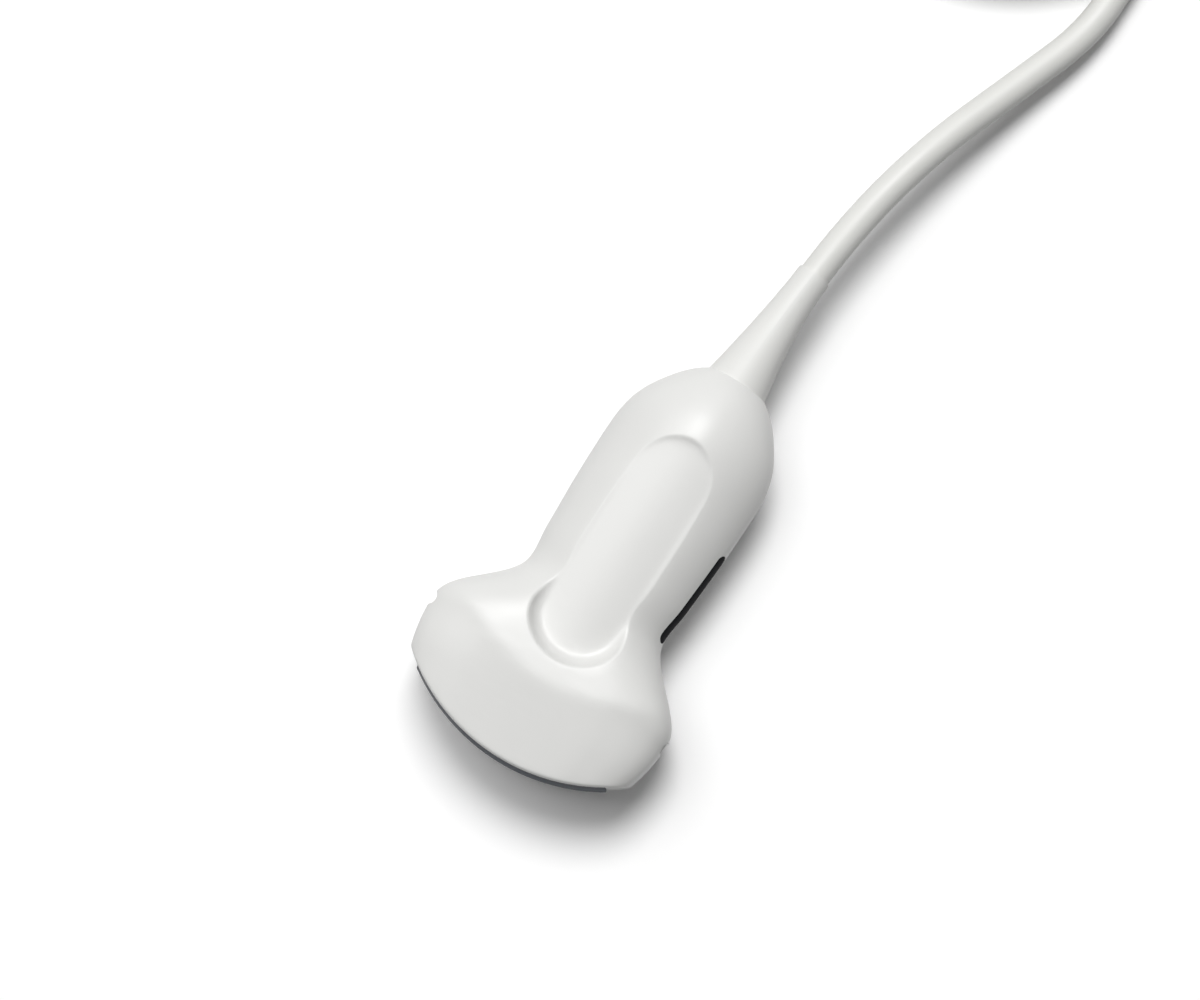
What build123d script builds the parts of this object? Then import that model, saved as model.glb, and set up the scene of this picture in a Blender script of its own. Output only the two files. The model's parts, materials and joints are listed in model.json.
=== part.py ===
"""Curved-array ultrasound transducer: hand piece, array stack, cable and system connector.

Millimetres, +Z up. The hand piece lies on its rear face with the lens towards -Y and the
cable towards +Y. Its two shells meet on a level plane, the mid plane, at the cable's height.
Hand piece pieces are drawn about that plane and lifted by the rest height at the end.
"""
from build123d import *
import os
from math import asin, copysign, cos, degrees, exp, log, pi, radians, sin, sqrt, tan

# Hand piece outline, seen from its front face, and its places from the two ends
body_length = 117.0
tail_y = body_length / 2
crown_y = -body_length / 2
tail_radius = 9.2
bulge_half_width = 22.8
neck_half_width = 20.9
head_half_width = 36.3
nose_taper = 1.9
bulge_y = tail_y - 27.5
neck_y = crown_y + 50.0
head_y = crown_y + 27.5
nose_y = crown_y + 14.5

# Hand piece depth, measured from the mid plane
bulge_half_depth = 16.5
neck_half_depth = 15.0
brow_half_depth = 16.4
brow_radius = 44.4
brow_y = crown_y + 23.3
brow_sweep = 1.6
brow_softness = 0.15
nose_slope = 11.0
face_edge_blend = 1.2
tail_bluntness = 2.5
tail_squareness = 2.0
handle_squareness = 1.7
head_squareness = 3.4
nose_squareness = 4.2

# Thumb recess, the same on both faces
recess_half_width = 12.9
recess_top_y = tail_y - 19.3
recess_bottom_y = crown_y + 28.7
recess_wall_width = 2.2
recess_end_width = 4.2
recess_wall_slope = 11.0
recess_wall_curl = 0.28
recess_foot = 1.5
recess_floor_radius = 40.0
recess_floor_top = 15.3
recess_floor_fall = 2.8
recess_rim_blend = 1.2

# Locating notches at the two ends of the head
notch_y = crown_y + 26.3
notch_radius = 2.2
notch_depth = 1.3
notch_half_length = 5.0

# Orientation marker, an inlay in the side of the front shell
marker_top_y = tail_y - 40.0
marker_length = 28.1
marker_base_z = 0.4
marker_height = 3.8
marker_depth = 0.8

# Shell walls and joint
wall = 2.2
cavity_tail_y = tail_y - 14.5
cavity_head_y = crown_y + 22.5
lip_width = 1.0
lip_height = 1.2
fit = 0.05

# Array stack, concentric about the centre of the lens curve
lens_radius = 54.0
lens_crown = 0.9
lens_side = 7.38
lens_half_height = 8.5
lens_seat = 1.8
skirt_length = 6.0
stack_side_angle = 2.0
stack_half_height = 6.75
outer_match_thickness = 0.45
inner_match_thickness = 0.45
bond_line = 0.1
piezo_thickness = 0.5
kerf_count = 30
kerf_width = 0.12
kerf_depth = 0.3
flex_thickness = 0.2
backing_thickness = 14.0
carrier_thickness = 3.0
pocket_depth = 26.0

# Shelf, board and sockets behind the array
shelf_half_width = 16.0
shelf_thickness = 1.6
shelf_end_y = crown_y + 36.5
shelf_post_x = 13.0
shelf_post_y = crown_y + 32.0
board_half_width = 11.0
board_thickness = 1.2
board_tail_y = tail_y - 31.5
board_post_y = tail_y - 37.5
socket_half_width = 9.0
socket_head_y = crown_y + 38.5
socket_tail_y = crown_y + 46.5
post_radius = 2.6
screw_radius = 0.9
screw_head_radius = 1.9
screw_head_height = 1.3
screw_length = 6.0

# Cable end, clamp and strain relief
cable_radius = 4.25
cable_start_y = tail_y - 14.0
fan_half_width = 9.0
fan_half_height = 1.5
fan_radius = 3.6
clamp_radius = 7.0
clamp_y = tail_y - 13.5
clamp_length = 5.0
flange_radius = 9.4
flange_y = tail_y - 8.0
flange_length = 3.0
stem_radius = 7.2
seal_y = tail_y - 2.5
seal_radius = 0.6
relief_base_radius = 8.8
relief_end_radius = 4.75
relief_length = 36.4
relief_flare = 1.8
relief_rings = 6

# Coil of the put-away cable, and its tie
coil_x = -32.7
coil_y = tail_y + 192.5
coil_inner_turn = 38.2
coil_outer_turn = 59.7
coil_layers = 2
coil_slack = 0.4
lead_in_length = 36.0
lead_out_length = 34.0
tie_thickness = 1.2
tie_arc = 18.0
tie_place = 205.0

# System connector
connector_x = -6.0
connector_y = tail_y + 283.5
connector_width = 96.0
connector_depth = 60.0
connector_height = 36.0
connector_wall = 2.5
connector_corner = 6.0
connector_edge = 3.0
shroud_width = 77.0
shroud_height = 25.0
shroud_wall = 1.6
shroud_reach = 13.0
shroud_flange = 3.0
shroud_flange_rise = 2.2
shroud_flange_thickness = 2.4
contact_setback = 7.0
contact_columns = 7
contact_rows = 5
contact_pitch = 3.6
contact_size = 1.7
contact_rise = 0.3
contact_centre = 22.0
plug_board_thickness = 1.6
rib_width = 10.0
rib_depth = 3.0
shaft_radius = 3.0
shaft_clearance = 0.1
cross_bar_length = 15.0
cross_bar_width = 3.2
bush_radius = 6.0
bush_flange_radius = 8.5
bush_flange_thickness = 1.5
bush_length = 9.0
knob_radius = 15.0
knob_length = 8.0
knob_gap = 0.5
knob_grip_width = 7.0
knob_grip_height = 7.0
knob_edge = 1.2
boot_x = 33.0
boot_z = 18.0
boot_base_radius = 9.0
boot_end_radius = 5.6
boot_length = 26.0
boot_stem_radius = 7.5
boot_flange_radius = 8.8
boot_flange_length = 2.5
boot_grooves = 5
boot_groove_depth = 1.2
boot_groove_width = 1.4
boss_radius = 4.2
boss_inset = 9.5
cover_screw_radius = 1.4
cover_screw_head_radius = 2.8
cover_screw_head_height = 2.0
cover_screw_length = 26.0
cover_screw_recess = 2.6

# Drawing of the hand piece's sections and recess, and share of a run that a cable bend takes
section_points = 32
handle_spacing = 7.0
head_spacing = 2.2
recess_span = 21.0
recess_columns = 20
recess_rows = 40
recess_tolerance = 0.02
bend_share = 0.45

# Values worked out from the sizes above
array_y = crown_y + lens_radius
face_radius = lens_radius - lens_crown
lens_half_angle = degrees(asin((head_half_width - lens_side) / face_radius))
stack_half_angle = lens_half_angle - stack_side_angle
lens_back = face_radius - lens_seat
match_middle = lens_back - outer_match_thickness
match_back = match_middle - inner_match_thickness
piezo_front = match_back - bond_line
piezo_back = piezo_front - piezo_thickness
backing_front = piezo_back - flex_thickness
backing_back = backing_front - backing_thickness
carrier_back = backing_back - carrier_thickness
flex_half_height = stack_half_height + flex_thickness
board_head_y = array_y - sqrt(carrier_back ** 2 - board_half_width ** 2) + fit
recess_middle_y = (recess_top_y + recess_bottom_y) / 2
recess_length = recess_top_y - recess_bottom_y
far = 2 * body_length


def ease(low, high, share):
    """Smooth step from one value to another."""
    share = min(max(share, 0.0), 1.0)
    return low + (high - low) * share * share * (3 - 2 * share)


def along(start, end, y):
    return (y - start) / (end - start)


def tail_dome(at_bulge, y):
    return tail_radius + (at_bulge - tail_radius) * (1 - along(bulge_y, tail_y, y) ** tail_bluntness)


def half_width(y):
    """Outline of the hand piece: tail, bulge, neck, flare and head."""
    if y > bulge_y:
        return tail_dome(bulge_half_width, y)
    if y > neck_y:
        return bulge_half_width - (bulge_half_width - neck_half_width) * along(bulge_y, neck_y, y) ** 2
    if y > head_y:
        return ease(neck_half_width, head_half_width, along(neck_y, head_y, y))
    return head_half_width - nose_taper * along(head_y, nose_y, y) ** 2


def half_depth(x, y):
    """Half depth of the shells: a valley at the neck, then a brow on an arc about the handle."""
    if y > bulge_y:
        return tail_dome(bulge_half_depth, y)
    if y > neck_y:
        return bulge_half_depth - (bulge_half_depth - neck_half_depth) * along(bulge_y, neck_y, y) ** 2
    centre_y = brow_y + brow_radius
    straight = centre_y - y
    spread = sqrt(x * x + straight * straight) - straight
    reach = straight + spread * ease(0, 1, along(neck_y, head_y, y))
    share = max(along(centre_y - neck_y, brow_radius, reach), 0.0)
    rising = neck_half_depth + (brow_half_depth - neck_half_depth) * share ** brow_sweep
    falling = brow_half_depth - (reach - brow_radius) * tan(radians(nose_slope))
    return -brow_softness * log(exp(-rising / brow_softness) + exp(-falling / brow_softness))


def floor_height(y):
    """Crown line of the recess floor, a straight line that falls towards the lens."""
    return recess_floor_top - (recess_top_y - y) * tan(radians(recess_floor_fall))


def squareness(y):
    if y > bulge_y:
        return ease(handle_squareness, tail_squareness, along(bulge_y, tail_y, y))
    if y > head_y:
        return ease(handle_squareness, head_squareness, along(neck_y, head_y, y))
    return ease(head_squareness, nose_squareness, along(head_y, nose_y, y))


def ring(y, width, depth):
    """Closed section across the hand piece, a superellipse whose depth may vary across it."""
    power = squareness(y)
    points = []
    for step in range(section_points):
        turn = 2 * pi * step / section_points
        across, up = cos(turn), sin(turn)
        x = width * copysign(abs(across) ** (2 / power), across)
        z = depth(x) * copysign(abs(up) ** (2 / power), up)
        points.append((x, y, z))
    knots = [step / section_points for step in range(section_points + 1)]
    return Wire([Edge.make_spline(points, periodic=True, parameters=knots)])


def stations(start, end, spacing):
    count = max(round(abs(end - start) / spacing), 2)
    return [start + (end - start) * step / count for step in range(count)]


def body_loft(inset):
    """The hand piece as one smooth form, drawn in by an inset, past the lens at its front."""
    front_y = crown_y - 2 * head_spacing
    places = stations(tail_y, bulge_y, handle_spacing) + stations(bulge_y, neck_y, handle_spacing)
    places += stations(neck_y, front_y, head_spacing) + [front_y]
    rings = [ring(y, half_width(y) - inset, lambda x, y=y: half_depth(x, y) - inset) for y in places]
    return Solid.make_loft(rings)


def cavity_loft(growth):
    """The hollow of the handle, a wall inside the outline and under the recess floor."""
    places = stations(cavity_tail_y, neck_y, handle_spacing)
    places += stations(neck_y, cavity_head_y, head_spacing) + [cavity_head_y]
    rings = []
    for y in places:
        rings.append(ring(y, half_width(y) - wall + growth, lambda x, y=y: floor_height(y) - wall + growth))
    return Solid.make_loft(rings)


def slab(low, high):
    """Everything between two heights."""
    return Pos(0, 0, (low + high) / 2) * Box(far, far, high - low)


def sector(profile, half_angle):
    """A profile of radius and height, turned about the centre of the lens curve."""
    swept = revolve(Plane.XZ * profile, Axis.Z, 2 * half_angle)
    return Pos(0, array_y, 0) * Rot(0, 0, -90 - half_angle) * swept


def band(inner, outer, half_height):
    middle = (inner + outer) / 2
    return Pos(middle, 0) * Rectangle(outer - inner, 2 * half_height)


def turned(points):
    """A profile of radius and place along Y, turned about the hand piece's long axis."""
    return revolve(make_face(Polyline(*points, close=True)), Axis.Y)


def tube_y(outer, inner, start, end):
    return turned([(inner, start), (outer, start), (outer, end), (inner, end)])


def rod_y(radius, start, end):
    return turned([(0, start), (radius, start), (radius, end), (0, end)])


def post(x, y, radius, low, high):
    return Pos(x, y, (low + high) / 2) * Cylinder(radius, high - low)


def block(low, high):
    """A box between two corners."""
    centre = [(a + b) / 2 for a, b in zip(low, high)]
    return Pos(*centre) * Box(*[b - a for a, b in zip(low, high)])


# Shells

def recess_cutter():
    """All that lies above a crowned floor, which turns up ever more steeply outside a racetrack."""
    half_run = recess_length / 2 - recess_half_width
    rise = tan(radians(recess_wall_slope))

    def height(x, y):
        run = min(max(y - recess_middle_y, -half_run), half_run)
        reach = recess_half_width - ease(recess_wall_width, recess_end_width, along(neck_y, head_y, y))
        beyond = sqrt(x * x + (y - recess_middle_y - run) ** 2) - reach
        wall_run = (beyond + sqrt(beyond * beyond + recess_foot ** 2)) / 2
        crown = floor_height(y) - x * x / 2 / recess_floor_radius
        return crown + rise * wall_run + recess_wall_curl * wall_run ** 2

    xs = [recess_span * step / recess_columns for step in range(-recess_columns, recess_columns + 1)]
    half_span = half_run + recess_span
    ys = [recess_middle_y + half_span * step / recess_rows for step in range(-recess_rows, recess_rows + 1)]
    grid = [[Vector(x, y, height(x, y)) for y in ys] for x in xs]
    floor = Face.make_surface_from_array_of_points(grid, tol=recess_tolerance)
    return extrude(floor, far, dir=(0, 0, 1))


def outer_half():
    """Front half of the solid hand piece, with its recess and end notches cut."""
    beyond = block((-far, crown_y - far, -far), (far, nose_y + notch_radius, far))
    beyond -= Pos(0, array_y, 0) * Cylinder(face_radius, 2 * far)
    whole = body_loft(0) - beyond
    rim = [edge for edge in whole.edges() if edge.bounding_box().max.Y < nose_y]
    whole = fillet(rim, face_edge_blend)
    half = whole & slab(0, far)
    half -= recess_cutter()
    skin = max(half.faces(), key=lambda face: face.area)
    rim = [edge for edge in skin.edges() if edge.bounding_box().min.Z > neck_half_depth / 2
           and recess_bottom_y - recess_half_width < edge.center().Y < recess_top_y + recess_half_width
           and abs(edge.center().X) < recess_half_width + notch_radius]
    half = fillet(rim, recess_rim_blend)
    for side in (-1, 1):
        x = side * (half_width(notch_y) + notch_radius - notch_depth)
        capsule = post(x, notch_y, notch_radius, -notch_half_length, notch_half_length)
        capsule += Pos(x, notch_y, notch_half_length) * Sphere(notch_radius)
        half -= capsule
    return half


def tail_bores():
    """Stepped bore that the clamp, the flange and the stem of the strain relief sit in."""
    clamp_bore = rod_y(clamp_radius + fit, cavity_tail_y - wall, flange_y)
    flange_bore = rod_y(flange_radius + fit, flange_y - fit, flange_y + flange_length + fit)
    return clamp_bore + flange_bore + rod_y(stem_radius + fit, flange_y, tail_y + wall)


def hollow():
    """Handle cavity, array pocket and tail bores as one cutter."""
    pocket = sector(band(face_radius - pocket_depth, face_radius + wall, lens_half_height + fit),
                    lens_half_angle + fit)
    return cavity_loft(0) + pocket + tail_bores()


def lip(growth):
    """Tongue along the joint of the shells, from the hollow outwards."""
    strip = block((-far, shelf_end_y, -lip_height - growth), (far, cavity_tail_y - wall, 0))
    return cavity_loft(lip_width + growth) & strip


def marker_inlay():
    """A slice of the outer skin in a racetrack seen from the side."""
    outline = Plane.YZ * Pos(marker_top_y - marker_length / 2, marker_base_z + marker_height / 2)
    prism = extrude(outline * SlotOverall(marker_length, marker_height), far)
    return (body_loft(0) - body_loft(marker_depth)) & prism


def shelf_posts(half):
    """Posts under the array shelf and the board, trimmed to the shell that carries them."""
    posts = [post(0, board_post_y, post_radius, -far, 0)]
    for x in (-shelf_post_x, shelf_post_x):
        posts.append(post(x, shelf_post_y, post_radius, -far, -shelf_thickness))
    return [half & column for column in posts]


def pilot_holes():
    depth = screw_length + fit
    holes = [post(0, board_post_y, screw_radius + fit, board_thickness - depth, 0)]
    for x in (-shelf_post_x, shelf_post_x):
        holes.append(post(x, shelf_post_y, screw_radius + fit, -depth, 0))
    return holes


half = outer_half()
other_half = mirror(half, Plane.XY)
rest_height = body_loft(0).bounding_box().max.Z
space = hollow()
orientation_marker = marker_inlay()
tongue = lip(0) - space
front_shell = half - space + tongue - orientation_marker
rear_shell = other_half - space - (lip(fit) - space)
for column in shelf_posts(other_half):
    rear_shell += column
for hole in pilot_holes():
    rear_shell -= hole


# Array stack

def lens_profile():
    """Crowned front, and a skirt that wraps the stack above and below."""
    tip = (lens_radius, 0)
    top, foot = (face_radius, lens_half_height), (face_radius, -lens_half_height)
    skirt = lens_back - skirt_length
    inside = flex_half_height + fit
    crown = ThreePointArc(foot, tip, top)
    back = Polyline(top, (skirt, lens_half_height), (skirt, inside), (lens_back, inside),
                    (lens_back, -inside), (skirt, -inside), (skirt, -lens_half_height), foot)
    return make_face([crown, back])


def flex_profile():
    """Flexible circuit, under the elements and back along both sides of the backing."""
    low, high = stack_half_height, flex_half_height
    outside = [(carrier_back, high), (piezo_back, high), (piezo_back, -high), (carrier_back, -high)]
    inside = [(carrier_back, -low), (backing_front, -low), (backing_front, low), (carrier_back, low)]
    return make_face(Polyline(*outside, *inside, close=True))


def flex_tail(side):
    start = array_y - carrier_back - flex_half_height
    low, high = sorted((side * stack_half_height, side * flex_half_height))
    return block((-socket_half_width, start, low), (socket_half_width, socket_tail_y, high))


def diced(layer):
    """Saw cuts across the outer face, evenly spaced round the curve."""
    low = (-kerf_width / 2, -piezo_front - fit, -far)
    cut = block(low, (kerf_width / 2, kerf_depth - piezo_front, far))
    for step in range(1, kerf_count):
        turn = stack_half_angle * (2 * step / kerf_count - 1)
        layer -= Pos(0, array_y, 0) * Rot(0, 0, turn) * cut
    return layer


acoustic_lens = sector(lens_profile(), lens_half_angle)
outer_matching_layer = sector(band(match_middle, lens_back, stack_half_height), stack_half_angle)
inner_matching_layer = sector(band(match_back, match_middle, stack_half_height), stack_half_angle)
piezo_array = diced(sector(band(piezo_back, piezo_front, stack_half_height), stack_half_angle))
array_flex = sector(flex_profile(), stack_half_angle) + flex_tail(1) + flex_tail(-1)
backing_block = sector(band(backing_back, backing_front, stack_half_height), stack_half_angle)


def carrier():
    """Metal plate behind the backing, with the shelf that takes the board and the screws."""
    plate = sector(band(carrier_back, backing_back, stack_half_height), stack_half_angle)
    front_y = array_y - carrier_back - carrier_thickness / 2
    shelf = block((-shelf_half_width, front_y, -shelf_thickness), (shelf_half_width, shelf_end_y, 0))
    frame = plate + (shelf & Pos(0, array_y, 0) * Cylinder(carrier_back + carrier_thickness / 2, far))
    for side in (-1, 1):
        frame -= post(side * shelf_post_x, shelf_post_y, screw_radius + fit, -far, far)
    return frame


def screw(x, y, seat):
    """Pan screw with its head on a seat height."""
    head = post(x, y, screw_head_radius, seat, seat + screw_head_height)
    return head + post(x, y, screw_radius, seat - screw_length, seat)


array_carrier = carrier()
board = block((-board_half_width, board_head_y, 0), (board_half_width, board_tail_y, board_thickness))
interconnect_board = board - post(0, board_post_y, screw_radius + fit, -far, far)
socket_depths = [(board_thickness, stack_half_height), (-stack_half_height, 0)]
flex_sockets = [block((-socket_half_width, socket_head_y, low), (socket_half_width, socket_tail_y, high))
                for low, high in socket_depths]
frame_screws = [screw(side * shelf_post_x, shelf_post_y, 0) for side in (-1, 1)]
frame_screws.append(screw(0, board_post_y, board_thickness))
coax_fan = loft([
    Plane((0, board_tail_y, board_thickness / 2), x_dir=(1, 0, 0), z_dir=(0, 1, 0))
    * Rectangle(2 * fan_half_width, 2 * fan_half_height),
    Plane((0, cable_start_y, 0), x_dir=(1, 0, 0), z_dir=(0, 1, 0)) * Circle(fan_radius),
])
cable_clamp = tube_y(clamp_radius, cable_radius + fit, clamp_y, clamp_y + clamp_length)
tail_seal = Pos(0, seal_y, 0) * Rot(90, 0, 0) * Torus(stem_radius - seal_radius, seal_radius - fit)


# Cable

floor_z = cable_radius + tie_thickness + coil_slack
lead_x = coil_x + coil_outer_turn
lead_end_y = coil_y - lead_in_length
tail_start_y = coil_y + lead_out_length
tail_z = floor_z + 2 * cable_radius
boot_place_x = connector_x + boot_x

lead_route = [
    (0.0, cable_start_y, rest_height),
    (0.0, tail_y + 17.5, rest_height),
    (2.4, tail_y + 53.5, rest_height),
    (8.6, tail_y + 83.5, 14.0),
    (18.6, tail_y + 112.5, 8.6),
    (lead_x, tail_y + 136.5, floor_z),
    (lead_x, lead_end_y, floor_z),
]
tail_route = [
    (lead_x, tail_start_y, tail_z),
    (lead_x, tail_start_y + 8.0, tail_z),
    (boot_place_x, connector_y - boot_length, boot_z),
    (boot_place_x, connector_y + connector_wall + boot_flange_length, boot_z),
]


def bends(route):
    """Radius of each corner of a route, as large as its two runs allow."""
    found = []
    for before, corner, after in zip(route, route[1:], route[2:]):
        first = Vector(*corner) - Vector(*before)
        second = Vector(*after) - Vector(*corner)
        turn = radians(first.get_angle(second))
        found.append(bend_share * min(first.length, second.length) / tan(turn / 2))
    return found


def cable_path(route):
    return FilletPolyline(*route, radius=bends(route))


def cable_tube(route, radius):
    """Round tube along straight runs and tangent arcs."""
    start = Plane(route[0], z_dir=Vector(*route[1]) - Vector(*route[0]))
    return sweep(start * Circle(radius), path=cable_path(route))


def relief():
    """Strain relief: flange and stem between the shells, then a trumpet along the cable."""
    path = cable_path(lead_route)
    rings = []
    for step in range(relief_rings + 1):
        share = step / relief_rings
        place = tail_y - cable_start_y + share * relief_length
        radius = relief_end_radius + (relief_base_radius - relief_end_radius) * (1 - share) ** relief_flare
        centre = path.position_at(place, position_mode=PositionMode.LENGTH)
        heading = path.tangent_at(place, position_mode=PositionMode.LENGTH)
        rings.append(Wire([Edge.make_circle(radius, Plane(centre, x_dir=(0, 0, 1), z_dir=heading))]))
    stem = rod_y(flange_radius, flange_y, flange_y + flange_length) + rod_y(stem_radius, flange_y, tail_y)
    seal_room = seal_radius + fit
    stem -= tube_y(far, stem_radius - 2 * seal_radius, seal_y - seal_room, seal_y + seal_room)
    whole = Solid.make_loft(rings) + Pos(0, 0, rest_height) * stem
    return whole - cable_tube(lead_route, cable_radius + fit)


def coil_section(growth):
    width = coil_outer_turn - coil_inner_turn + 2 * (cable_radius + coil_slack + growth)
    height = 2 * (coil_layers * cable_radius + coil_slack + growth)
    middle = Pos((coil_outer_turn + coil_inner_turn) / 2, height / 2 + tie_thickness - growth)
    return middle * RectangleRounded(width, height, cable_radius + growth)


def about_coil(section, arc, start):
    return Pos(coil_x, coil_y, 0) * Rot(0, 0, start) * revolve(Plane.XZ * section, Axis.Z, arc)


def coil():
    """Outer shape of the tied coil, with the two ends of the cable leaving it straight."""
    lead_in = Pos(lead_x, 0, floor_z) * rod_y(cable_radius, lead_end_y, coil_y)
    lead_out = Pos(lead_x, 0, tail_z) * rod_y(cable_radius, coil_y, tail_start_y)
    return about_coil(coil_section(0), 360, 0) + lead_in + lead_out


cable_lead = cable_tube(lead_route, cable_radius)
cable_coil = coil()
cable_tail = cable_tube(tail_route, cable_radius)
coil_tie = about_coil(coil_section(tie_thickness) - coil_section(0), tie_arc, tie_place)
strain_relief = relief()


# System connector, drawn with its rear face at y = 0 and its middle at x = 0

connector_mid = connector_height / 2
front_inner = connector_depth - connector_wall
flange_back = front_inner - shroud_flange_thickness
plug_board_back = flange_back - plug_board_thickness
contact_face = connector_depth + shroud_reach - contact_setback
shaft_hole = shaft_radius + knob_gap + shaft_clearance
boss_places = [(side * (connector_width / 2 - boss_inset), y)
               for side in (-1, 1) for y in (boss_inset, plug_board_back - rib_depth - boss_radius)]


def axial(shape):
    """Lift a turned piece to the height of the lock shaft."""
    return Pos(0, 0, connector_mid) * shape


def opening(width, height, start, end):
    low, high = connector_mid - height / 2, connector_mid + height / 2
    return block((-width / 2, start, low), (width / 2, end, high))


def case_block(inset):
    """Box of the connector case with round corners, drawn in by an inset."""
    width, depth = connector_width - 2 * inset, connector_depth - 2 * inset
    plan = Pos(0, connector_depth / 2, inset) * RectangleRounded(width, depth, connector_corner - inset)
    return extrude(plan, connector_height - 2 * inset)


def connector_case():
    """Both covers as one hollow case, with bosses, ribs and openings."""
    solid = case_block(0)
    solid = fillet(solid.faces().sort_by(Axis.Z)[0].edges() + solid.faces().sort_by(Axis.Z)[-1].edges(),
                   connector_edge)
    case = solid - case_block(connector_wall)
    for x, y in boss_places:
        case += post(x, y, boss_radius, connector_wall / 2, connector_height - connector_wall / 2)
    rib_height = connector_height - connector_wall
    rib = opening(rib_width, rib_height, plug_board_back - rib_depth, plug_board_back)
    rib -= opening(far, shroud_height - rib_depth, 0, far)
    for x in (-contact_centre, contact_centre):
        case += Pos(x, 0, 0) * rib
    case -= opening(shroud_width + 2 * fit, shroud_height + 2 * fit, flange_back, far)
    case -= axial(rod_y(bush_radius + fit, -far, connector_wall + fit))
    case -= Pos(boot_x, 0, boot_z) * rod_y(boot_stem_radius + fit, -far, connector_wall + fit)
    for x, y in boss_places:
        case -= post(x, y, cover_screw_head_radius + fit, -fit, cover_screw_recess)
        case -= post(x, y, cover_screw_radius + fit, 0, cover_screw_recess + cover_screw_length + fit)
    return case


def shroud():
    flange_width = shroud_width + 2 * shroud_flange
    flange = opening(flange_width, shroud_height + 2 * shroud_flange_rise, flange_back, front_inner)
    sleeve = opening(shroud_width, shroud_height, flange_back, connector_depth + shroud_reach)
    bore = opening(shroud_width - 2 * shroud_wall, shroud_height - 2 * shroud_wall, 0, far)
    return flange + sleeve - bore


def contacts():
    """Insulating block that fills the shroud, with the hole for the lock shaft."""
    width, height = shroud_width - 2 * (shroud_wall + fit), shroud_height - 2 * (shroud_wall + fit)
    return opening(width, height, flange_back, contact_face) - axial(rod_y(shaft_hole, 0, far))


def contact_field():
    """Gold contacts on the face of the block, a grid on each side of the shaft."""
    pads = []
    for side in (-1, 1):
        for column in range(contact_columns):
            for row in range(contact_rows):
                x = side * contact_centre + (column - (contact_columns - 1) / 2) * contact_pitch
                z = connector_mid + (row - (contact_rows - 1) / 2) * contact_pitch
                pad = Box(contact_size, contact_rise, contact_size)
                pads.append(Pos(x, contact_face + contact_rise / 2, z) * pad)
    return pads


def cross_shaft():
    """Lock shaft with the cross bar that turns behind the socket's cam."""
    end = contact_face + contact_setback + contact_rise
    bar = Box(cross_bar_length, cross_bar_width, cross_bar_width)
    bar = Pos(0, end - cross_bar_width / 2, 0) * bar
    return axial(rod_y(shaft_radius, knob_seat - knob_length, end) + bar)


def knob():
    """Turning knob with a bar grip across its outer face."""
    disc = rod_y(knob_radius, knob_seat - knob_length, knob_seat)
    disc = fillet(disc.edges().filter_by(GeomType.CIRCLE), knob_edge)
    half_grip = knob_grip_width / 2
    reach = sqrt(knob_radius ** 2 - half_grip ** 2) - 2 * knob_edge
    start = knob_seat - knob_length - knob_grip_height
    grip = block((-reach, start, -half_grip), (reach, knob_seat - knob_length / 2, half_grip))
    grip = fillet(grip.edges().filter_by(Axis.Y) + grip.faces().sort_by(Axis.Y)[0].edges(), knob_edge)
    return axial(disc + grip - rod_y(shaft_radius + fit / 2, knob_seat - knob_length, far))


def boot():
    """Tapered boot with bend grooves, its flange inside the case."""
    shape = turned([(0, 0), (0, -boot_length), (boot_end_radius, -boot_length), (boot_base_radius, 0)])
    shape += rod_y(boot_stem_radius, 0, connector_wall)
    shape += rod_y(boot_flange_radius, connector_wall, connector_wall + boot_flange_length)
    pitch = boot_length / (boot_grooves + 2)
    for step in range(1, boot_grooves + 1):
        place = -boot_length + pitch * step
        share = -place / boot_length
        skin = boot_base_radius + (boot_end_radius - boot_base_radius) * share
        shape -= tube_y(far, skin - boot_groove_depth, place, place + boot_groove_width)
    bore = Pos(-connector_x, -connector_y, 0) * cable_tube(tail_route, cable_radius + fit)
    return Pos(boot_x, 0, boot_z) * shape - bore


def cover_screw(x, y):
    head_base = cover_screw_recess - cover_screw_head_height
    head = post(x, y, cover_screw_head_radius, head_base, cover_screw_recess)
    return head + post(x, y, cover_screw_radius, head_base, cover_screw_recess + cover_screw_length)


knob_seat = -bush_flange_thickness - knob_gap
case = connector_case()
lower_cover = case & slab(0, connector_mid)
upper_cover = case & slab(connector_mid, connector_height)
connector_shroud = shroud()
contact_block = contacts()
contact_pads = contact_field()
plug_board_width, plug_board_height = shroud_width + shroud_flange, shroud_height + shroud_flange_rise
plug_board = opening(plug_board_width, plug_board_height, plug_board_back, flange_back)
plug_board -= axial(rod_y(shaft_hole, 0, far))
lock_shaft = cross_shaft()
shaft_bush = axial(tube_y(bush_radius, shaft_radius + shaft_clearance, 0, bush_length)
                   + tube_y(bush_flange_radius, shaft_radius + shaft_clearance, -bush_flange_thickness, 0))
lock_knob = knob()
connector_boot = boot()
cover_screws = [cover_screw(x, y) for x, y in boss_places]


# One file for each piece

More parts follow.
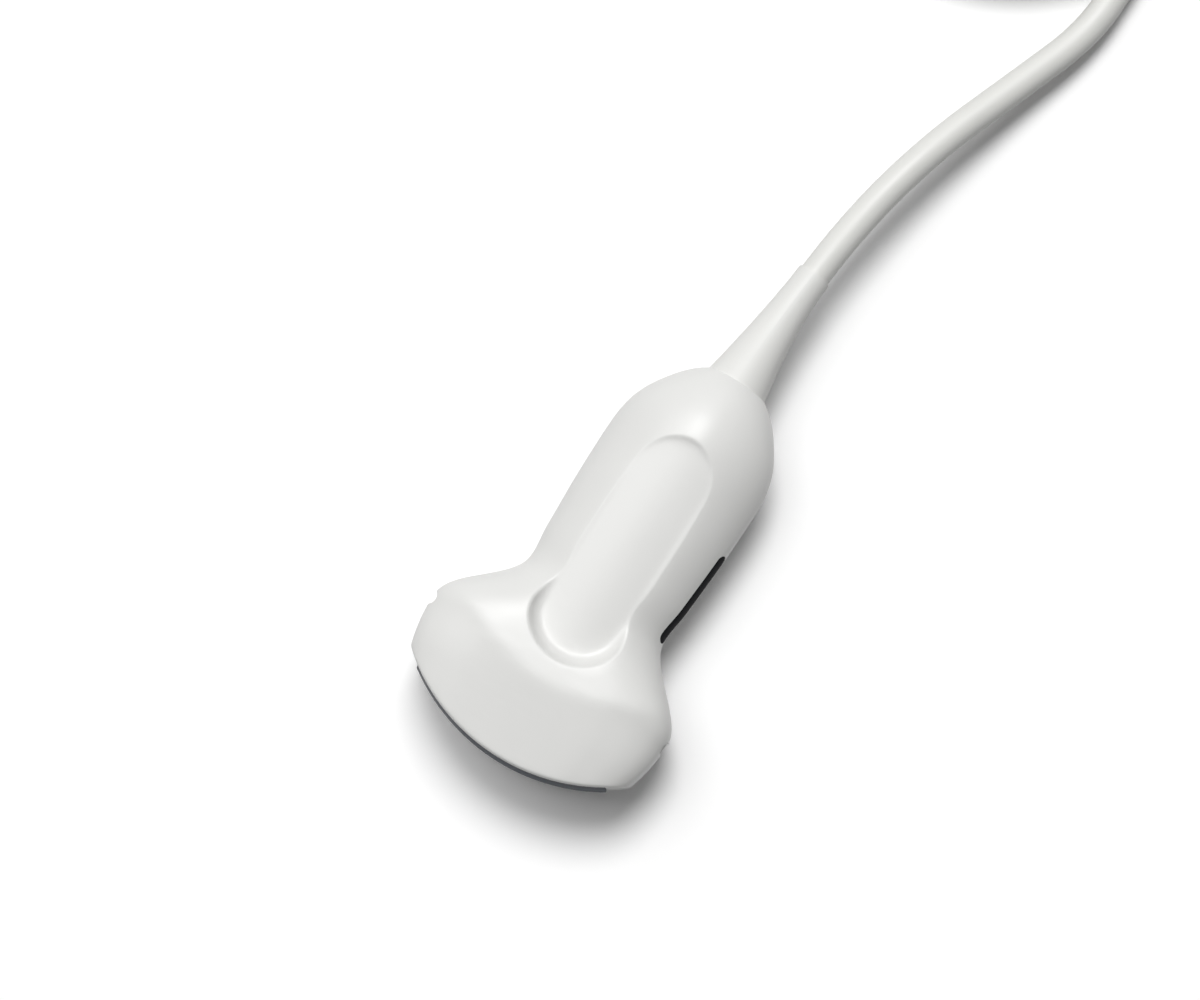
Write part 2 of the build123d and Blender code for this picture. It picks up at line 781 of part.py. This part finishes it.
hand_piece = {
    "front_shell": front_shell,
    "rear_shell": rear_shell,
    "orientation_marker": orientation_marker,
    "acoustic_lens": acoustic_lens,
    "outer_matching_layer": outer_matching_layer,
    "inner_matching_layer": inner_matching_layer,
    "piezo_array": piezo_array,
    "array_flex": array_flex,
    "backing_block": backing_block,
    "array_carrier": array_carrier,
    "interconnect_board": interconnect_board,
    "flex_sockets": flex_sockets,
    "frame_screws": frame_screws,
    "coax_fan": coax_fan,
    "cable_clamp": cable_clamp,
    "tail_seal": tail_seal,
}
cable = {
    "strain_relief": strain_relief,
    "cable_lead": cable_lead,
    "cable_coil": cable_coil,
    "cable_tail": cable_tail,
    "coil_tie": coil_tie,
}
connector = {
    "connector_lower_cover": lower_cover,
    "connector_upper_cover": upper_cover,
    "connector_shroud": connector_shroud,
    "contact_block": contact_block,
    "contact_pads": contact_pads,
    "connector_board": plug_board,
    "lock_shaft": lock_shaft,
    "shaft_bush": shaft_bush,
    "lock_knob": lock_knob,
    "connector_boot": connector_boot,
    "cover_screws": cover_screws,
}


def save(pieces, place):
    for name, piece in pieces.items():
        members = piece if isinstance(piece, list) else [piece]
        solids = [place * solid for member in members for solid in member.solids()]
        export_step(solids[0] if len(solids) == 1 else Compound(solids), f"parts/{name}.step")


os.makedirs("parts", exist_ok=True)
save(hand_piece, Pos(0, 0, rest_height))
save(cable, Pos(0, 0, 0))
save(connector, Pos(connector_x, connector_y, 0))
print("rest height", round(rest_height, 3))
for route, tube in ((lead_route, cable_lead), (tail_route, cable_tail)):
    length = cable_path(route).length
    print("cable bend radii", [round(value) for value in bends(route)], "length", round(length, 1))
    print("volume over section times length", round(tube.volume / (pi * cable_radius ** 2 * length), 4))
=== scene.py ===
"""Looks of the curved-array ultrasound probe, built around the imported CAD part.

Metres, +Z up, in the CAD frame: the hand piece lies on its rear face, lens towards -Y, cable
towards +Y. The camera looks down on it, a little from the marker's side.
"""
import json
import math

import bmesh
import bpy
from mathutils import Matrix, Vector


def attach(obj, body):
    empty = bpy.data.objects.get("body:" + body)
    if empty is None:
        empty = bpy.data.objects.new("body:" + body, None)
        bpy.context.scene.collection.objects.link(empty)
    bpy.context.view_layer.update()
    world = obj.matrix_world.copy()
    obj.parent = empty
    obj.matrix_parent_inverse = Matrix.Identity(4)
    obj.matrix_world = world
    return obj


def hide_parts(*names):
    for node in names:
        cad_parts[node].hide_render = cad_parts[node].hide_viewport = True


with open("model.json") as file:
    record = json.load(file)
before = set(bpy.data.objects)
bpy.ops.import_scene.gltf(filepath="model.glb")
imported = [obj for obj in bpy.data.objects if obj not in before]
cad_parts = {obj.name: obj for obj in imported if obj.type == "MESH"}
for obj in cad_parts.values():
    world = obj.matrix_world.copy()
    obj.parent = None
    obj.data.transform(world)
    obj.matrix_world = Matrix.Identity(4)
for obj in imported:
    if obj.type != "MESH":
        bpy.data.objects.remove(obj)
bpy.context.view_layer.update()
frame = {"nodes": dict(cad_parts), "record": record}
nodes = frame["nodes"]
scene = bpy.context.scene
scene.view_settings.view_transform = "Standard"

# Places shared with the CAD source, in millimetres
MM = 0.001
REST_HEIGHT = 16.502
CABLE_DIAMETER = 8.5
COIL_CENTRE = (-32.7, 251.0)
COIL_OUTER = 59.7
COIL_INNER = 38.2
COIL_TURNS = 5
COIL_CLIMB = 0.4
COIL_LOW_Z = 5.85
COIL_HIGH_Z = 14.35
POINTS_PER_TURN = 24
LEAD_ROUTE = [(0, 44.5, REST_HEIGHT), (0, 76, REST_HEIGHT), (2.4, 112, REST_HEIGHT), (8.6, 142, 14.0),
              (18.6, 171, 8.6), (27, 195, COIL_LOW_Z), (27, 215, COIL_LOW_Z)]
TAIL_ROUTE = [(27, 285, COIL_HIGH_Z), (27, 293, COIL_HIGH_Z), (27, 316, 18.0), (27, 347, 18.0)]

# Camera in millimetres and degrees: aim, direction of the eye, lean of the probe's axis, width of the view
AIM = (-13.7, 13.6, REST_HEIGHT)
EYE_AZIMUTH = 42.0
EYE_ELEVATION = 81.8
AXIS_LEAN = 33.3
VIEW_WIDTH = 316.0
SENSOR = 36.0

# Lengths in metres: what the eye keeps from the aim and sees from there on
EYE_DISTANCE = 0.75
NEAREST = 0.01


# Helpers

def add_object(name, data):
    """New object in the scene from its data."""
    made = bpy.data.objects.new(name, data)
    scene.collection.objects.link(made)
    return made


def direction(azimuth, elevation):
    """Unit vector towards an azimuth, counted from -Y towards +X, and an elevation."""
    azimuth, elevation = math.radians(azimuth), math.radians(elevation)
    flat = math.cos(elevation)
    return Vector((math.sin(azimuth) * flat, -math.cos(azimuth) * flat, math.sin(elevation)))


# Camera

def place_camera():
    """Eye along a direction from the aim, turned so that the probe's axis leans as in the picture."""
    back = direction(EYE_AZIMUTH, EYE_ELEVATION)
    axis = Vector((0, 1, 0))
    axis = (axis - axis.dot(back) * back).normalized()
    up = Matrix.Rotation(math.radians(AXIS_LEAN), 3, back) @ axis
    right = up.cross(back)
    data = bpy.data.cameras.new("camera")
    data.sensor_width = SENSOR
    data.lens = SENSOR * EYE_DISTANCE / (VIEW_WIDTH * MM)
    data.clip_start = NEAREST
    camera = add_object("camera", data)
    turn = Matrix((right, up, back)).transposed().to_4x4()
    camera.matrix_world = Matrix.Translation(Vector(AIM) * MM + back * EYE_DISTANCE) @ turn
    scene.camera = camera


place_camera()


# Materials: the range that a noise mostly keeps to, and the detail of the slow and the fine one

TEXTURE_LOW = 0.3
TEXTURE_HIGH = 0.7
SLOW_DETAIL = 3.0
FINE_DETAIL = 2.0


def node_tree(name):
    """New material with its node tree and its shader."""
    made = bpy.data.materials.new(name)
    made.use_nodes = True
    tree = made.node_tree
    return made, tree, tree.nodes["Principled BSDF"]


def noise(tree, scale, detail, stretch=(1, 1, 1)):
    """Noise in the frame of the part, with its scale in cells for each metre."""
    place = tree.nodes.new("ShaderNodeTexCoord")
    fit = tree.nodes.new("ShaderNodeMapping")
    fit.inputs["Scale"].default_value = stretch
    made = tree.nodes.new("ShaderNodeTexNoise")
    made.inputs["Scale"].default_value = scale
    made.inputs["Detail"].default_value = detail
    tree.links.new(place.outputs["Object"], fit.inputs["Vector"])
    tree.links.new(fit.outputs["Vector"], made.inputs["Vector"])
    return made


def vary(tree, source, low, high):
    """Map a texture's middle range to a range of values."""
    made = tree.nodes.new("ShaderNodeMapRange")
    made.inputs["From Min"].default_value = TEXTURE_LOW
    made.inputs["From Max"].default_value = TEXTURE_HIGH
    made.inputs["To Min"].default_value = low
    made.inputs["To Max"].default_value = high
    tree.links.new(source.outputs[0], made.inputs["Value"])
    return made


def tint(tree, source, first, second):
    """Colour that drifts between two shades with a texture."""
    made = tree.nodes.new("ShaderNodeMix")
    made.data_type = "RGBA"
    made.inputs["A"].default_value = (*first, 1)
    made.inputs["B"].default_value = (*second, 1)
    tree.links.new(vary(tree, source, 0, 1).outputs[0], made.inputs["Factor"])
    return made


def bump(tree, source, depth, strength):
    """Normals that follow a texture taken as relief of some depth in metres."""
    made = tree.nodes.new("ShaderNodeBump")
    made.inputs["Distance"].default_value = depth
    made.inputs["Strength"].default_value = strength
    tree.links.new(source.outputs[0], made.inputs["Height"])
    return made


def surface(name, colour, drift, rough, grain=2500, depth=2e-5, strength=0.3, metallic=0.0, sheen=0.0,
            specular=0.5, patch=60, stretch=(1, 1, 1)):
    """A surface with a slow drift of colour and roughness, and a fine grain.

    The drift is a share of the colour, patch and grain count cells for each metre, and depth is
    the height of the grain in metres.
    """
    made, tree, shader = node_tree(name)
    slow = noise(tree, patch, SLOW_DETAIL)
    fine = noise(tree, grain, FINE_DETAIL, stretch)
    darker = [value * (1 - drift) for value in colour]
    lighter = [min(value * (1 + drift), 1.0) for value in colour]
    colours = tint(tree, slow, darker, lighter)
    tree.links.new(colours.outputs["Result"], shader.inputs["Base Color"])
    tree.links.new(vary(tree, slow, *rough).outputs[0], shader.inputs["Roughness"])
    tree.links.new(bump(tree, fine, depth, strength).outputs[0], shader.inputs["Normal"])
    shader.inputs["Metallic"].default_value = metallic
    shader.inputs["Sheen Weight"].default_value = sheen
    shader.inputs["Specular IOR Level"].default_value = specular
    return made


LOOKS = {
    "housing_white": dict(colour=(0.715, 0.715, 0.70), drift=0.008, rough=(0.36, 0.42),
                          grain=5000, depth=8e-6, strength=0.25),
    "lens_grey": dict(colour=(0.034, 0.041, 0.052), drift=0.06, rough=(0.5, 0.58),
                      grain=3000, depth=1e-5, strength=0.2, specular=0.15),
    "marker_black": dict(colour=(0.005, 0.005, 0.006), drift=0.1, rough=(0.55, 0.65),
                         grain=4000, depth=8e-6, strength=0.2, specular=0.03),
    "relief_white": dict(colour=(0.715, 0.715, 0.695), drift=0.01, rough=(0.45, 0.55),
                         grain=3000, depth=1e-5),
    "cable_white": dict(colour=(0.70, 0.70, 0.675), drift=0.012, rough=(0.42, 0.52), depth=1.2e-5),
    "matching_resin": dict(colour=(0.30, 0.27, 0.24), drift=0.08, rough=(0.5, 0.6)),
    "element_ceramic": dict(colour=(0.62, 0.58, 0.50), drift=0.05, rough=(0.5, 0.6)),
    "flex_amber": dict(colour=(0.62, 0.34, 0.08), drift=0.05, rough=(0.25, 0.35)),
    "backing_dark": dict(colour=(0.10, 0.10, 0.11), drift=0.1, rough=(0.6, 0.7)),
    "carrier_metal": dict(colour=(0.72, 0.73, 0.74), drift=0.03, rough=(0.3, 0.4),
                          grain=900, depth=1e-5, metallic=1.0, stretch=(1, 12, 1)),
    "board_green": dict(colour=(0.05, 0.22, 0.11), drift=0.06, rough=(0.35, 0.45)),
    "socket_beige": dict(colour=(0.72, 0.66, 0.52), drift=0.03, rough=(0.45, 0.55)),
    "screw_steel": dict(colour=(0.60, 0.61, 0.62), drift=0.03, rough=(0.25, 0.35),
                        grain=1200, depth=6e-6, metallic=1.0),
    "coax_grey": dict(colour=(0.45, 0.46, 0.50), drift=0.08, rough=(0.5, 0.6)),
    "seal_black": dict(colour=(0.03, 0.03, 0.03), drift=0.1, rough=(0.5, 0.6)),
    "tie_grey": dict(colour=(0.10, 0.105, 0.115), drift=0.15, rough=(0.8, 0.9),
                     grain=1500, depth=2e-4, strength=0.8, sheen=0.3),
    "connector_white": dict(colour=(0.80, 0.80, 0.785), drift=0.012, rough=(0.42, 0.52),
                            grain=1800, depth=3e-5, strength=0.4),
    "shroud_metal": dict(colour=(0.30, 0.31, 0.32), drift=0.04, rough=(0.45, 0.55),
                         grain=4000, depth=1e-5, metallic=0.7),
    "contact_black": dict(colour=(0.05, 0.05, 0.055), drift=0.1, rough=(0.45, 0.55)),
    "contact_gold": dict(colour=(0.83, 0.62, 0.25), drift=0.04, rough=(0.2, 0.3),
                         grain=3000, depth=4e-6, strength=0.2, metallic=1.0),
    "knob_grey": dict(colour=(0.24, 0.25, 0.27), drift=0.05, rough=(0.4, 0.5),
                      grain=1800, depth=3e-5, strength=0.4),
}
finishes = {slot: surface(slot, **look) for slot, look in LOOKS.items()}


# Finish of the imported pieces, with the sharp angle in degrees

SHARP_ANGLE = 32.0


def dress(obj, slot):
    """Give an object the finish of a material slot."""
    obj.data.materials.clear()
    obj.data.materials.append(finishes[slot])


def smooth(obj):
    """Round shading, broken where faces meet at more than the sharp angle."""
    obj.data.shade_smooth()
    obj.data.set_sharp_from_angle(angle=math.radians(SHARP_ANGLE))


for piece in frame["record"]["subparts"]:
    dress(nodes[piece["node"]], piece["material_slot"])
    smooth(nodes[piece["node"]])


# Front shell in millimetres, its left end notch carried up to where the flank turns over

NOTCH_Y = -32.2
NOTCH_RADIUS = 2.2
NOTCH_DEPTH = 1.7
NOTCH_TOP = 10.5
NOTCH_SEGMENTS = 32
NOTCH_DOME_STEPS = 8
JOIN_DISTANCE = 1e-4


def head_reach(shell):
    """Reach of a shell along X about the notches, in millimetres."""
    places = [vertex.co / MM for vertex in shell.data.vertices]
    return max(abs(place.x) for place in places if abs(place.y - NOTCH_Y) < 2 * NOTCH_RADIUS)


def notch_profile():
    """Height and radius of each ring of the cutter, from the joint up over its dome."""
    rings = [(0.0, NOTCH_RADIUS)]
    for step in range(NOTCH_DOME_STEPS):
        rise = math.pi / 2 * step / NOTCH_DOME_STEPS
        rings.append((NOTCH_TOP + NOTCH_RADIUS * math.sin(rise), NOTCH_RADIUS * math.cos(rise)))
    return rings


def notch_cutter(x):
    """Upright round bar with a domed top."""
    mesh = bmesh.new()
    rings = []
    for height, radius in notch_profile():
        ring = []
        for step in range(NOTCH_SEGMENTS):
            angle = 2 * math.pi * step / NOTCH_SEGMENTS
            outwards = Vector((math.cos(angle), math.sin(angle), 0))
            place = Vector((x, NOTCH_Y, REST_HEIGHT + height)) + radius * outwards
            ring.append(mesh.verts.new(place * MM))
        rings.append(ring)
    for low, high in zip(rings, rings[1:]):
        for step in range(NOTCH_SEGMENTS):
            mesh.faces.new((low[step - 1], low[step], high[step], high[step - 1]))
    mesh.faces.new(rings[0][::-1])
    mesh.faces.new(rings[-1])
    data = bpy.data.meshes.new("notch_cutter")
    mesh.to_mesh(data)
    mesh.free()
    return add_object("notch_cutter", data)


def closed_copy(obj):
    """Mesh of an object with its split corners joined and its stored normals dropped."""
    mesh = bmesh.new()
    mesh.from_mesh(obj.data)
    bmesh.ops.remove_doubles(mesh, verts=mesh.verts, dist=JOIN_DISTANCE * MM)
    data = bpy.data.meshes.new("front_cover")
    mesh.to_mesh(data)
    mesh.free()
    if data.has_custom_normals:
        data.attributes.remove(data.attributes["custom_normal"])
    return data


def notched_shell():
    """The front shell as packed, with the longer notch cut into a copy of it."""
    shell = nodes["front_shell"]
    made = add_object("front_cover", closed_copy(shell))
    cutter = notch_cutter(NOTCH_DEPTH - NOTCH_RADIUS - head_reach(shell))
    cut = made.modifiers.new("notch", "BOOLEAN")
    cut.operation = "DIFFERENCE"
    cut.solver = "EXACT"
    cut.object = cutter
    bpy.context.view_layer.update()
    seen = made.evaluated_get(bpy.context.evaluated_depsgraph_get())
    made.data = bpy.data.meshes.new_from_object(seen)
    made.modifiers.clear()
    bpy.data.objects.remove(cutter)
    smooth(made)
    dress(made, "housing_white")
    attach(made, "probe")
    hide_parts("front_shell")


notched_shell()


# Cable

CABLE_ROUNDNESS = 8
CABLE_STEPS = 10


def turn_place(turn):
    """Radius and height of the coil after some turns: inwards on the low layer, outwards on the high one."""
    half = COIL_TURNS / 2
    inward = 1 - abs(turn - half) / half
    climb = min(max((turn - half) / COIL_CLIMB + 0.5, 0), 1)
    climb = climb * climb * (3 - 2 * climb)
    radius = COIL_OUTER + (COIL_INNER - COIL_OUTER) * inward
    height = COIL_LOW_Z + (COIL_HIGH_Z - COIL_LOW_Z) * climb
    return radius, height


def coil_points():
    """Control points of the turns, spread so that the line between them keeps its radius."""
    points = []
    spread = 1 / math.cos(math.pi / POINTS_PER_TURN)
    for step in range(COIL_TURNS * POINTS_PER_TURN + 1):
        turn = step / POINTS_PER_TURN
        radius, height = turn_place(turn)
        angle = 2 * math.pi * turn
        points.append((COIL_CENTRE[0] + radius * spread * math.cos(angle),
                       COIL_CENTRE[1] + radius * spread * math.sin(angle), height))
    return points


def cable_curve(points):
    """Round cable along one smooth line with these control points."""
    data = bpy.data.curves.new("cable", "CURVE")
    data.dimensions = "3D"
    data.bevel_depth = CABLE_DIAMETER / 2 * MM
    data.bevel_resolution = CABLE_ROUNDNESS
    data.resolution_u = CABLE_STEPS
    data.use_fill_caps = True
    spline = data.splines.new("NURBS")
    spline.points.add(len(points) - 1)
    for place, point in zip(spline.points, points):
        place.co = (*(Vector(point) * MM), 1)
    spline.order_u = 3
    spline.use_endpoint_u = True
    return add_object("cable", data)


cable = cable_curve(LEAD_ROUTE + coil_points() + TAIL_ROUTE)
dress(cable, "cable_white")
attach(cable, "probe")
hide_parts("cable_lead", "cable_coil", "cable_tail")


# Tie round the coil, in millimetres and degrees

TIE_ANGLE = 214.0
TIE_WIDTH = 15.0
TIE_THICKNESS = 1.1
TIE_OVERLAP = 24.0
TIE_STEPS = 110
TIE_ROWS = 6
TIE_AIR = 0.15
TIE_RAMP = 6.0
TIE_END = 4.0
TIE_EDGE = 0.3
RING_POINTS = 48


def bend(first, second, third):
    """Above nought where the way from the first to the third of three flat points turns left."""
    return ((second[0] - first[0]) * (third[1] - first[1])
            - (second[1] - first[1]) * (third[0] - first[0]))


def hull(points):
    """Outline round a set of flat points, counter-clockwise."""
    points = sorted(points)
    sides = []
    for order in (points, points[::-1]):
        side = []
        for point in order:
            while len(side) > 1 and bend(side[-2], side[-1], point) <= 0:
                side.pop()
            side.append(point)
        sides += side[:-1]
    return sides


def tie_outline():
    """Line round the turns where the tie crosses them, as radius and height."""
    middle = CABLE_DIAMETER / 2 + TIE_THICKNESS / 2
    found = []
    for turn in range(COIL_TURNS):
        radius, height = turn_place(turn + TIE_ANGLE / 360)
        for step in range(RING_POINTS):
            angle = 2 * math.pi * step / RING_POINTS
            found.append((radius + middle * math.cos(angle), height + middle * math.sin(angle)))
    return [Vector(point) for point in hull(found)]


def run_lengths(outline):
    """Length of the run that ends at each point of a closed line."""
    return [(outline[index] - outline[index - 1]).length for index in range(len(outline))]


def walk(outline, distance):
    """Place and outward direction at a distance along a closed line."""
    lengths = run_lengths(outline)
    distance %= sum(lengths)
    for index, length in enumerate(lengths):
        if distance <= length:
            run = outline[index] - outline[index - 1]
            along = run.normalized()
            return outline[index - 1] + along * distance, Vector((along.y, -along.x))
        distance -= length


def tie_rows():
    """Centre and half width of the tape along its length: once round the turns and over its own start."""
    outline = tie_outline()
    lengths = run_lengths(outline)
    around = sum(lengths)
    total = around + TIE_OVERLAP
    top = max(range(len(outline)), key=lambda index: outline[index].y)
    start = sum(lengths[:top + 1]) - TIE_OVERLAP / 2
    rows = []
    for step in range(TIE_STEPS + 1):
        distance = total * step / TIE_STEPS
        place, normal = walk(outline, start + distance)
        over = min(max((distance - around + TIE_RAMP) / TIE_RAMP, 0), 1)
        to_end = min(distance, total - distance)
        rounding = max(0, TIE_END - to_end) ** 2 / (2 * TIE_END)
        rows.append((place + normal * over * (TIE_THICKNESS + TIE_AIR), TIE_WIDTH / 2 - rounding))
    return rows


def tie_mesh():
    """The tape as one strip of faces, in the plane across the turns."""
    angle = math.radians(TIE_ANGLE)
    outwards = Vector((math.cos(angle), math.sin(angle), 0))
    across = Vector((-outwards.y, outwards.x, 0))
    mesh = bmesh.new()
    grid = []
    for place, half in tie_rows():
        centre = Vector((*COIL_CENTRE, 0)) + outwards * place.x + Vector((0, 0, place.y))
        shares = [2 * row / TIE_ROWS - 1 for row in range(TIE_ROWS + 1)]
        grid.append([mesh.verts.new((centre + across * half * share) * MM) for share in shares])
    for first, second in zip(grid, grid[1:]):
        for row in range(TIE_ROWS):
            mesh.faces.new((first[row], first[row + 1], second[row + 1], second[row]))
    data = bpy.data.meshes.new("coil_strap")
    mesh.to_mesh(data)
    mesh.free()
    data.shade_smooth()
    return data


def tie_strap():
    """Woven tape with its thickness and rounded edges."""
    made = add_object("coil_strap", tie_mesh())
    solid = made.modifiers.new("thickness", "SOLIDIFY")
    solid.thickness = TIE_THICKNESS * MM
    solid.offset = 0
    edge = made.modifiers.new("edge", "BEVEL")
    edge.width = TIE_EDGE * MM
    edge.segments = 2
    edge.limit_method = "ANGLE"
    dress(made, "tie_grey")
    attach(made, "probe")
    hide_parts("coil_tie")
    return made


strap = tie_strap()


# Stage and light, in metres

FLOOR_MIDDLE = (-0.01, 0.17, 0)
FLOOR_HALF_SIDE = 3.0
FLOOR_DROP = 0.0002
FLOOR_TONE = 0.5
FLOOR_ROUGHNESS = 0.9
# Faint glow of the floor to the eye near the part: painted light that lightens the part's cast shadows
FLOOR_SHADOW_LIFT = 0.04
FADE_START = 0.45
FADE_END = 1.3
SKY_LIGHT = 0.14
LAMP_DISTANCE = 4.0


def backdrop_rays(tree):
    """One for the rays that see the backdrop, from the camera or in gloss and glass, else nought."""
    rays = tree.nodes.new("ShaderNodeLightPath")
    seen = rays.outputs["Is Camera Ray"]
    for kind in ("Is Glossy Ray", "Is Transmission Ray"):
        either = tree.nodes.new("ShaderNodeMath")
        either.operation = "MAXIMUM"
        tree.links.new(seen, either.inputs[0])
        tree.links.new(rays.outputs[kind], either.inputs[1])
        seen = either.outputs[0]
    return seen


def floor_look():
    """Grey as a source of light and white to the eye. Near the part it glows faintly to the eye, a painted
    light that lightens its cast shadows; far away the glow grows and hides its edge.
    """
    look, tree, shader = node_tree("floor")
    seen = backdrop_rays(tree)
    tone = tree.nodes.new("ShaderNodeMix")
    tone.data_type = "RGBA"
    tone.inputs["A"].default_value = (FLOOR_TONE, FLOOR_TONE, FLOOR_TONE, 1)
    tone.inputs["B"].default_value = (1, 1, 1, 1)
    tree.links.new(seen, tone.inputs["Factor"])
    tree.links.new(tone.outputs["Result"], shader.inputs["Base Color"])
    place = tree.nodes.new("ShaderNodeTexCoord")
    away = tree.nodes.new("ShaderNodeVectorMath")
    away.operation = "DISTANCE"
    away.inputs[1].default_value = FLOOR_MIDDLE
    # Painted light: the floor's glow to the eye, faint near the part where it lightens the shadows, full far
    # away where it hides the edge
    fade = tree.nodes.new("ShaderNodeMapRange")
    fade.inputs["From Min"].default_value = FADE_START
    fade.inputs["From Max"].default_value = FADE_END
    fade.inputs["To Min"].default_value = FLOOR_SHADOW_LIFT
    lift = tree.nodes.new("ShaderNodeMath")
    lift.operation = "MULTIPLY"
    tree.links.new(place.outputs["Object"], away.inputs[0])
    tree.links.new(away.outputs["Value"], fade.inputs["Value"])
    tree.links.new(fade.outputs["Result"], lift.inputs[0])
    tree.links.new(seen, lift.inputs[1])
    tree.links.new(lift.outputs[0], shader.inputs["Emission Strength"])
    shader.inputs["Emission Color"].default_value = (1, 1, 1, 1)
    shader.inputs["Roughness"].default_value = FLOOR_ROUGHNESS
    shader.inputs["Specular IOR Level"].default_value = 0.0
    return look


def floor():
    """Level square just under the part."""
    mesh = bpy.data.meshes.new("floor")
    side = FLOOR_HALF_SIDE
    corners = [(-side, -side, 0), (side, -side, 0), (side, side, 0), (-side, side, 0)]
    mesh.from_pydata(corners, [], [(0, 1, 2, 3)])
    mesh.materials.append(floor_look())
    made = add_object("floor", mesh)
    made.location.z = -FLOOR_DROP


def lamp(name, azimuth, elevation, size, power):
    """Round lamp that faces the origin."""
    data = bpy.data.lights.new(name, "AREA")
    data.shape = "DISK"
    data.size = size
    data.energy = power
    made = add_object(name, data)
    back = direction(azimuth, elevation)
    turn = back.to_track_quat("Z", "Y").to_matrix().to_4x4()
    made.matrix_world = Matrix.Translation(back * LAMP_DISTANCE) @ turn


def sky():
    """Soft light from all round, itself seen as white."""
    world = bpy.data.worlds.new("world")
    world.use_nodes = True
    tree = world.node_tree
    level = tree.nodes.new("ShaderNodeMapRange")
    level.inputs["To Min"].default_value = SKY_LIGHT
    level.inputs["To Max"].default_value = 1.0
    tree.links.new(backdrop_rays(tree), level.inputs["Value"])
    background = tree.nodes["Background"]
    background.inputs["Color"].default_value = (1, 1, 1, 1)
    tree.links.new(level.outputs["Result"], background.inputs["Strength"])
    scene.world = world


floor()
lamp("key", azimuth=-155, elevation=63, size=1.8, power=103.0)
lamp("side", azimuth=-105, elevation=62, size=3.0, power=64.0)
sky()
